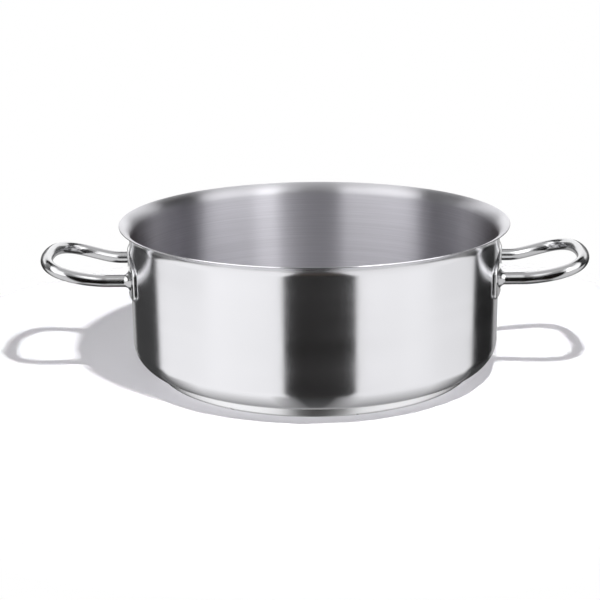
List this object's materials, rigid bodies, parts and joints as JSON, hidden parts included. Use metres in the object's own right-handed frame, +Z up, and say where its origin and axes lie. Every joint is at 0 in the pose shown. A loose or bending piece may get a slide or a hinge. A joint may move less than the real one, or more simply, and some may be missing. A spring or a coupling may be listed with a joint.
{
  "type": "stewpot",
  "caption": "Wide, low stainless stewpot with a flared pouring rim, a thick sandwich base and two tubular loop handles on curved plates.",
  "frame": {"origin": "centre of the underside of the base, on the surface that the pot stands on", "axes": "+Z up along the pot's axis, +X through the right handle, -Y towards the viewer of the picture"},
  "size_m": [0.5374, 0.3808, 0.1476],
  "materials": {
    "brushed_steel": "satin stainless steel, finely brushed round the pot",
    "polished_steel": "mirror-polished stainless steel",
    "weld_steel": "fused stainless steel",
    "core_aluminium": "rolled aluminium",
    "braze_alloy": "aluminium-silicon braze"
  },
  "bodies": {
    "root": {"pot_shell": "brushed_steel", "upper_braze_film": "braze_alloy", "base_core": "core_aluminium", "lower_braze_film": "braze_alloy", "base_cap": "polished_steel", "right_handle_plate": "polished_steel", "right_spot_weld_1": "weld_steel", "right_spot_weld_2": "weld_steel", "right_spot_weld_3": "weld_steel", "right_spot_weld_4": "weld_steel", "right_spot_weld_5": "weld_steel", "right_spot_weld_6": "weld_steel", "right_front_foot": "polished_steel", "right_rear_foot": "polished_steel", "right_handle_tube": "polished_steel", "left_handle_plate": "polished_steel", "left_spot_weld_1": "weld_steel", "left_spot_weld_2": "weld_steel", "left_spot_weld_3": "weld_steel", "left_spot_weld_4": "weld_steel", "left_spot_weld_5": "weld_steel", "left_spot_weld_6": "weld_steel", "left_front_foot": "polished_steel", "left_rear_foot": "polished_steel", "left_handle_tube": "polished_steel"}
  },
  "joints": []
}
